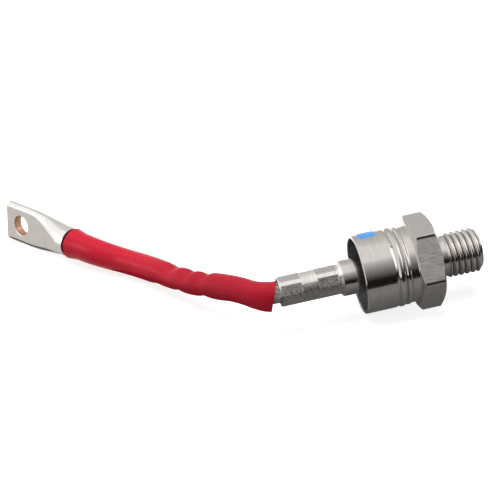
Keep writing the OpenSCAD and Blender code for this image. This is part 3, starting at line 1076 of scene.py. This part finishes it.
        # Faint clouds lie over the colour.
        tone = shader.inputs["Base Color"].links[0].from_node
        cloudy = {"Value": (peel, "Fac"), "To Min": 0.92, "To Max": 1.08}
        clouds = add_node(tree, "ShaderNodeMapRange", cloudy)
        scaled = {0: (tone, 2), "Scale": (clouds, "Result")}
        mixed = add_node(tree, "ShaderNodeVectorMath", scaled, operation="SCALE")
        gloss = {"Value": (lit_and_glossy, "Result"), "To Min": 0.5, "To Max": 0.27}
        shine = add_node(tree, "ShaderNodeMapRange", gloss)
        shader.inputs["IOR"].default_value = 1.53
        shader.inputs["Specular IOR Level"].default_value = 0.2
        tree.links.new(mixed.outputs["Vector"], shader.inputs["Base Color"])
        tree.links.new(shine.outputs["Result"], shader.inputs["Roughness"])
        return material


class STUDDIODE_OT_base(bpy.types.Operator):
    """Base with its hexagon, neck and threaded stud, as one turned surface"""

    bl_idname = "stud_diode.base"
    bl_label = "Stud base"

    def execute(self, context):
        size, can = context.scene.stud_diode.base, context.scene.stud_diode.can
        angles, offset = hex_angles(56)
        hexagon = hex_radius(size.across_flats / 2, offset, 110.0)
        seat = size.across_flats / 2 - size.turned_in
        seat_slope = (hexagon - seat) * math.tan(size.chamfer)
        # On the face under the can the chamfer only takes the corners; elsewhere the edge is just broken.
        broken = 0.1 * MM
        back = np.minimum(hexagon - broken, size.across_flats / 2 + size.back_out)
        back_slope = np.maximum((hexagon - back) * math.tan(size.chamfer), broken)
        low = -size.hex_height
        lip, neck = size.lip_radius, size.neck_radius
        pedestal_radius, pedestal_height, weld_edge = 9.5 * MM, 0.6 * MM, 0.65 * MM
        corners = [
            (-can.seam - pedestal_height, 0.0),
            (-can.seam - pedestal_height, pedestal_radius),
            (-can.seam, pedestal_radius),
            (-can.seam, lip - weld_edge),
            (-can.seam + weld_edge, lip),
            (low - size.neck_height - 0.75 * MM, lip),
            (low - size.neck_height, neck),
            (low, neck),
            (low, back),
            (low + back_slope, hexagon),
            (-seat_slope, hexagon),
            (0.0, seat),
            (0.0, size.stud_neck_radius),
            (size.stud_neck - 0.4 * MM, size.stud_neck_radius),
        ]
        rows = np.stack(
            [np.stack(np.broadcast_arrays(x, r, hexagon)[:2], axis=-1) for x, r in corners]
        )
        setback = [0.1, 0.1, 0.1, 0.2, 0.2, 0.2, 0.25, 0.1, 0.1, 0.14, 0.14, 0.1]
        body = soften(rows, np.array(setback) * MM)
        per_corner = 7
        x = np.arange(size.stud_neck - 0.35 * MM, size.stud_length - 0.02 * MM, 0.075 * MM)
        radius, groove = self.thread(x[:, None], angles[None, :], size)
        thread = np.stack([np.broadcast_to(x[:, None], radius.shape), radius], axis=-1)
        tip = np.stack(
            [
                np.stack([np.full_like(radius[-1], size.stud_length), radius[-1] * k], -1)
                for k in (0.985, 0.9, 0.0)
            ]
        )
        profile = np.concatenate([body, thread, tip])
        finish = np.zeros((len(profile) - 1, len(angles)), int)
        # Rows between the two chamfers are the flats; the one that faces the front was wire brushed and is
        # painted lighter as painted light.
        flats = slice(1 + 9 * per_corner - 3, 1 + 9 * per_corner + 3)
        finish[1 + 7 * per_corner : 1 + 11 * per_corner] = 1
        brushed = (angles >= TURN / 3 - 1e-6) & (angles < TURN / 2 - 1e-6)
        finish[flats] = np.where(brushed, 2, 1)
        finish[len(body) :] = 3
        # Stain: darker in the thread's roots, and a dark line along the edges of the brushed flat.
        stain = np.zeros(profile.shape[:2])
        stain[len(body) : len(body) + len(x)] = groove
        near_edge = smooth(np.abs(offset) / (TURN / 12), 0.86, 0.95)
        stain[1 + 8 * per_corner : 1 + 10 * per_corner] = np.where(brushed, near_edge, 0.0)
        colours = context.scene.stud_diode.finish
        nickel = tuple(colours.nickel)
        materials = [
            turned_nickel(nickel),
            # Drawn hexagon bar, plated: smooth, with faint drawing lines along the bar.
            metal("nickel on drawn bar", nickel, shade(nickel, 0.94), 0.2, (3.0, 0.8, 0.8), 0.002),
            # This flat was cleaned with a wire brush: satin, with short scratches along the bar; its
            # colour is painted lighter than the nickel's, as painted light.
            metal(
                "wire-brushed nickel, painted lighter",
                shade(nickel, 1.2),
                linear("#3C3029"),
                0.42,
                (2.2, 0.2, 0.2),
                0.05,
                spread=0.15,
                mottle_mm=(2.6, 0.34, 0.34),
                mottle=(0.42, 0.8, 0.65),
                stained=True,
            ),
            # Cut thread, plated thinly: fine tool chatter round the stud, dark in the roots.
            metal(
                "nickel on cut thread",
                nickel,
                shade(nickel, 0.45),
                0.16,
                (0.18, 2.4, 2.4),
                0.006,
                spread=0.05,
                mottle=(0.55, 0.85, 0.3),
                stained=True,
            ),
        ]
        put_piece(
            "base",
            [(turned(profile, angles), False, finish, None)],
            materials,
            ["stud_base"],
            sharp=50.0,
            fields={"stain": stain},
        )
        return {"FINISHED"}

    def thread(self, x, angle, size):
        """Radius of the stud, and how deep in its groove each point lies.

        A groove winds to the right with the pitch; a power of the distance from the crest leaves the crest
        broad. It rises from the neck and is cut off by the tip's chamfer.
        """
        turn = x / size.pitch - angle / TURN + THREAD_START
        saw = np.abs(2.0 * (turn - np.floor(turn)) - 1.0)
        breadth = 2.5
        groove = saw**breadth
        thread = size.stud_radius - size.thread_depth * groove
        begun = smooth(x, size.stud_neck - 0.1 * MM, size.stud_neck + 1.2 * MM)
        radius = size.stud_neck_radius + (thread - size.stud_neck_radius) * begun
        cone = size.stud_radius - (x - size.stud_length + size.tip_chamfer)
        return np.minimum(radius, cone), smooth(groove, 0.6, 1.0) * begun


def turned_nickel(base):
    """Turned steel, nickel plated: a warm grey mirror, drawn out by fine rings round the axis."""
    name = "nickel on turned steel"
    return bpy.data.materials.get(name) or metal(
        name,
        base,
        shade(base, 0.82),
        0.14,
        (0.2, 6.0, 6.0),
        0.006,
        spread=0.07,
        mottle_mm=(0.5, 9.0, 9.0),
    )


class STUDDIODE_OT_can(bpy.types.Operator):
    """Can, weld ring, seal and marking paint"""

    bl_idname = "stud_diode.can"
    bl_label = "Can"

    def execute(self, context):
        size, tube_size = context.scene.stud_diode.can, context.scene.stud_diode.tube
        colours = context.scene.stud_diode.finish
        angles = np.arange(256) / 256 * TURN
        nickel = turned_nickel(tuple(colours.nickel))
        r, inside = size.radius, size.radius - size.wall
        shell = np.array(
            [
                (-size.foot, inside),
                (-size.foot, r - 0.4 * MM),
                (-size.foot - 0.95 * MM, r),
                (-size.rim, r),
                (-size.rim, inside),
            ]
        )
        shell = soften_ring(shell, np.array([0.1, 0.15, 0.35, 0.75, 0.3]) * MM, 7)
        after = np.roll(shell, -1, axis=0)
        within = (shell[:, 1] + after[:, 1]) / 2 < inside + 0.12 * MM
        # The can's inside was never polished: dull scale from the furnace, with a blue cast, and darker
        # than the nickel as painted shade in the recess.
        scale = metal(
            "furnace scale, painted shade", linear("#B4B6BA"), linear("#84868A"), 0.35, (1.2, 0.6, 0.6), 0.01
        )
        put_piece(
            "can",
            [(turned(shell, angles), True, np.where(within, 1, 0)[:, None], None)],
            [nickel, scale],
            ["cap_shell"],
        )
        r, ring_inside = size.ring_radius, 12.2 * MM
        ring = np.array(
            [
                (-size.seam, ring_inside),
                (-size.seam, r - 0.55 * MM),
                (-size.seam - 0.85 * MM, r),
                (-size.foot + 0.85 * MM, r),
                (-size.foot, r - 0.45 * MM),
                (-size.foot, ring_inside),
            ]
        )
        ring = soften_ring(ring, np.array([0.1, 0.2, 0.3, 0.3, 0.15, 0.1]) * MM)
        put_piece(
            "weld_band", [(turned(ring, angles), True, 0, None)], [nickel], ["weld_ring"]
        )
        low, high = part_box("seal_insulator")
        bore = tube_size.radius
        rise = np.linspace(0.0, 1.0, 15)
        radii = bore + (inside - bore) * rise
        sag = 0.45 * MM * (2.0 * rise - 1.0) ** 4
        glass = np.concatenate(
            [
                np.stack([low[0] - sag + 0.2 * MM, radii], axis=1),
                np.array([(high[0], inside), (high[0], bore)]),
            ]
        )
        # Sealing glass, fired in place: dark, smooth and glossy, with small bubbles under its skin.
        seal = solid_finish(
            "fired sealing glass", tuple(colours.glass), shade(colours.glass, 0.6), 0.18, 0.5, 0.006
        )
        sheet = (turned(glass, angles), True, 0, None)
        put_piece("seal", [sheet], [seal], ["seal_insulator"])
        # Brushed-on lacquer: one strong blue, a little thinner in the strokes.
        paint = solid_finish(
            "blue lacquer", tuple(colours.paint), shade(colours.paint, 0.8), 0.35, 0.8, 0.004
        )
        # A small pit in the plating, filled with dirt: dull and nearly black.
        soot = solid_finish("dirt in a pit", linear("#2A2421"), linear("#57504A"), 0.6, 0.15, 0.004)
        self.dab("paint_mark", paint, (-23.6, 77.0), (3.05, 13.0), 12, size.paint, size)
        self.dab("pit_mark", soot, (-16.95, 118.6), (0.4, 1.0), 2, 0.2 * size.paint, size)
        return {"FINISHED"}

    def dab(self, name, material, middle, half, power, thickness, size):
        """A small rounded field on the can, as a film that thins to nothing at a slightly ragged edge.

        Its middle and half size are a distance along the axis in mm and an angle round it in degrees.
        """
        columns, rows = 72, 9
        angle = np.arange(columns) / columns * TURN
        share = np.linspace(0.0, 1.0, rows)[:, None]
        across, upward = np.cos(angle), np.sin(angle)
        square = (np.abs(across) ** power + np.abs(upward) ** power) ** (-1 / power)
        ragged = 1.0 + 0.02 * np.sin(3 * angle + 0.6) + 0.015 * np.sin(8 * angle)
        u, v = square * ragged * across * share, square * ragged * upward * share
        x = (middle[0] + half[0] * u) * MM
        turn = np.radians(middle[1] - half[1] * v - u)
        film = size.radius + thickness * (1.0 - share**6) + 0.004 * MM
        under = size.radius - 0.05 * MM + 0.054 * MM * share**6
        top = np.stack([x, film * np.cos(turn), film * np.sin(turn)], axis=-1)
        bottom = np.stack([x, under * np.cos(turn), under * np.sin(turn)], axis=-1)
        sheet = (np.concatenate([top, bottom[::-1]]), False, 0, None)
        put_piece(name, [sheet], [material], [])


class STUDDIODE_OT_terminal(bpy.types.Operator):
    """Terminal tube with its two crimps"""

    bl_idname = "stud_diode.terminal"
    bl_label = "Terminal tube"

    def execute(self, context):
        size = context.scene.stud_diode.tube
        nickel = tuple(context.scene.stud_diode.finish.nickel)
        angles, offset = hex_angles(40)
        mouth, inner_end, shoulder = -size.mouth, -size.inner_end, -size.shoulder
        step, step_radius = 0.9 * MM, size.crimp_radius
        bottom, cup, cup_radius = mouth + 20.0 * MM, inner_end - 5.0 * MM, 3.3 * MM
        head = np.array(
            [
                (bottom, 0.0),
                (bottom, size.bore),
                (mouth, size.bore),
                (mouth, step_radius - 0.1 * MM),
                (mouth + 0.5 * MM, step_radius),
            ]
        )
        head = soften(head, np.array([0.2, 0.25, 0.3]) * MM)
        x = np.arange(mouth + 0.55 * MM, shoulder - step - 0.1 * MM, 0.1 * MM)
        barrel = np.stack([x, np.full_like(x, step_radius)], axis=-1)
        tail = np.array(
            [
                (shoulder - step - 0.05 * MM, step_radius),
                (shoulder - step, step_radius),
                (shoulder, size.radius),
                (inner_end, size.radius),
                (inner_end, cup_radius),
                (cup, cup_radius),
                (cup, 0.0),
            ]
        )
        tail = soften(tail, np.array([0.02, 0.35, 0.3, 0.3, 0.2]) * MM)
        plain = np.concatenate([head, barrel, tail])
        profile = np.repeat(plain[:, None], len(angles), axis=1)
        place, edge = plain[:, 0], 0.3 * MM
        barrel_end = shoulder - step
        pressed = np.zeros(len(plain))
        for start in (
            mouth + size.crimp_margin, barrel_end - size.crimp_margin - size.crimp_length
        ):
            end = start + size.crimp_length
            pressed += smooth(place, start, start + edge) * (1 - smooth(place, end - edge, end))
        outside = plain[:, 1] > size.bore + 0.6 * MM
        pressed *= outside
        flats = hex_radius(size.crimp_flats / 2, offset, 45.0)
        flats = np.minimum(flats, step_radius + 0.02 * MM)
        profile[..., 1] += pressed[:, None] * (flats - step_radius)
        # The dies marked each face in its own way: dull above, rough at the front and back, smooth below.
        # The lower faces and the lower half of the round barrel are painted darker as shade.
        face_finish_and_shade = np.array([2, 1, 2, 3, 3, 3])
        facet = np.floor(angles / (TURN / 6) + 1e-6).astype(int)
        edge_between = np.abs(angles - TURN / 3) < math.radians(8.0)
        die_marks = np.where(edge_between, 4, face_finish_and_shade[facet])
        on_barrel = (place < shoulder + 0.3 * MM) & outside
        # The top of the barrel takes the painted highlight.
        rubbed_and_lit = np.abs(angles - math.radians(95.0)) < math.radians(43.0)
        finish = np.where(on_barrel[:-1, None], np.where(rubbed_and_lit, 4, face_finish_and_shade[facet]), 0)
        finish = np.where((pressed > 0.5)[:-1, None], die_marks, finish)
        materials = [
            turned_nickel(nickel),
            # The upper die slid a little: an even, dull face.
            metal(
                "nickel under the upper die",
                shade(nickel, 0.95),
                shade(nickel, 0.7),
                0.5,
                (0.5, 0.42, 0.42),
                0.02,
                spread=0.1,
                mottle_mm=(1.2, 1.2, 1.2),
            ),
            # The side dies were worn: pitted, with brown in the pits.
            metal(
                "nickel under the side dies",
                shade(nickel, 0.85),
                linear("#4A382C"),
                0.45,
                (0.4, 0.35, 0.35),
                0.06,
                spread=0.12,
                mottle_mm=(0.7, 0.7, 0.7),
                mottle=(0.42, 0.7, 0.8),
            ),
            # The lower die was smooth and pressed the plating evenly; its colour is darker as painted
            # shade.
            metal(
                "nickel under the lower die, painted shade",
                shade(nickel, 0.62),
                shade(nickel, 0.4),
                0.3,
                (0.8, 0.5, 0.5),
                0.015,
                mottle_mm=(1.8, 1.8, 1.8),
            ),
            # Top of the round parts of the barrel and the edge between two dies: rubbed smooth, and
            # painted lighter as a painted highlight.
            metal(
                "burnished nickel, painted highlight",
                shade(nickel, 1.3),
                shade(nickel, 1.0),
                0.27,
                (0.3, 2.0, 2.0),
                0.006,
                mottle_mm=(0.8, 3.0, 3.0),
            ),
        ]
        put_piece(
            "terminal",
            [(turned(profile, angles), False, finish, None)],
            materials,
            ["terminal_tube"],
        )
        return {"FINISHED"}


class STUDDIODE_OT_inside(bpy.types.Operator):
    """Finishes of the CAD parts inside the can"""

    bl_idname = "stud_diode.inside"
    bl_label = "Inside parts"

    def execute(self, context):
        # What makes the finish, its name, two tones, gloss, and grain and relief in millimetres.
        finishes = (
            # Turned oxygen-free copper, unplated.
            (metal, "turned copper", "#C98662", "#A5603F", 0.3, (0.3, 2.0, 2.0), 0.006),
            # Ground molybdenum disc: even blue-grey.
            (metal, "ground molybdenum", "#8E9297", "#777B81", 0.35, (0.4, 0.4, 0.4), 0.004),
            # Polished and alloyed silicon: dark mirror.
            (metal, "polished silicon", "#5B6068", "#474B53", 0.12, (0.8, 0.8, 0.8), 0.001),
            # Soft solder, melted once: pale and dull, with a frosty skin.
            (metal, "soft solder", "#A9A8A4", "#8B8A86", 0.45, (0.6, 0.6, 0.6), 0.01),
            # Silicone varnish over the junction: milky and rubbery.
            (solid_finish, "silicone varnish", "#C9C4B8", "#B5AFA2", 0.45, 1.2, 0.01),
            # Machined PTFE ring: white and waxy.
            (solid_finish, "machined PTFE", "#E6E5E0", "#D6D5CF", 0.4, 0.6, 0.006),
        )
        solids = (
            ("contact_cup", "inner_lead"),
            ("lower_moly_disc", "upper_moly_disc"),
            ("silicon_wafer",),
            ("base_solder", "cup_solder"),
            ("junction_coat",),
            ("centring_ring",),
        )
        for (make, name, base, tint, *surface), names in zip(finishes, solids, strict=True):
            material = make(name, linear(base), linear(tint), *surface)
            for solid in names:
                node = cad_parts[solid]
                node.data.materials.clear()
                node.data.materials.append(material)
        return {"FINISHED"}


# Panel


class VIEW3D_PT_stud_diode(bpy.types.Panel):
    """The diode's sizes, colours and operators"""

    bl_label = "Stud diode"
    bl_space_type = "VIEW_3D"
    bl_region_type = "UI"
    bl_category = "Stud diode"

    def draw(self, context):
        settings = context.scene.stud_diode
        for operator in OPERATORS:
            self.layout.operator(operator.bl_idname)
        for group in ("base", "can", "tube", "lead", "lug", "finish", "view"):
            box = self.layout.box()
            box.label(text=group.capitalize())
            values = getattr(settings, group)
            for key in values.__annotations__:
                box.prop(values, key)


OPERATORS = (
    STUDDIODE_OT_stage,
    STUDDIODE_OT_lug,
    STUDDIODE_OT_lead,
    STUDDIODE_OT_base,
    STUDDIODE_OT_can,
    STUDDIODE_OT_terminal,
    STUDDIODE_OT_inside,
)
GROUPS = (
    StudBaseSizes, CanSizes, TubeSizes, LeadSizes, LugSizes, FinishColours, ViewSettings, StudDiode
)
CLASSES = GROUPS + OPERATORS + (VIEW3D_PT_stud_diode,)


def register():
    """Adds the classes and the scene's settings."""
    for cls in CLASSES:
        bpy.utils.register_class(cls)
    bpy.types.Scene.stud_diode = PointerProperty(type=StudDiode)


def unregister():
    """Takes the settings and the classes away again."""
    del bpy.types.Scene.stud_diode
    for cls in reversed(CLASSES):
        bpy.utils.unregister_class(cls)


def main():
    register()
    bpy.ops.stud_diode.stage()
    bpy.ops.stud_diode.lug()
    bpy.ops.stud_diode.lead()
    bpy.ops.stud_diode.base()
    bpy.ops.stud_diode.can()
    bpy.ops.stud_diode.terminal()
    bpy.ops.stud_diode.inside()


if __name__ == "__main__":
    main()
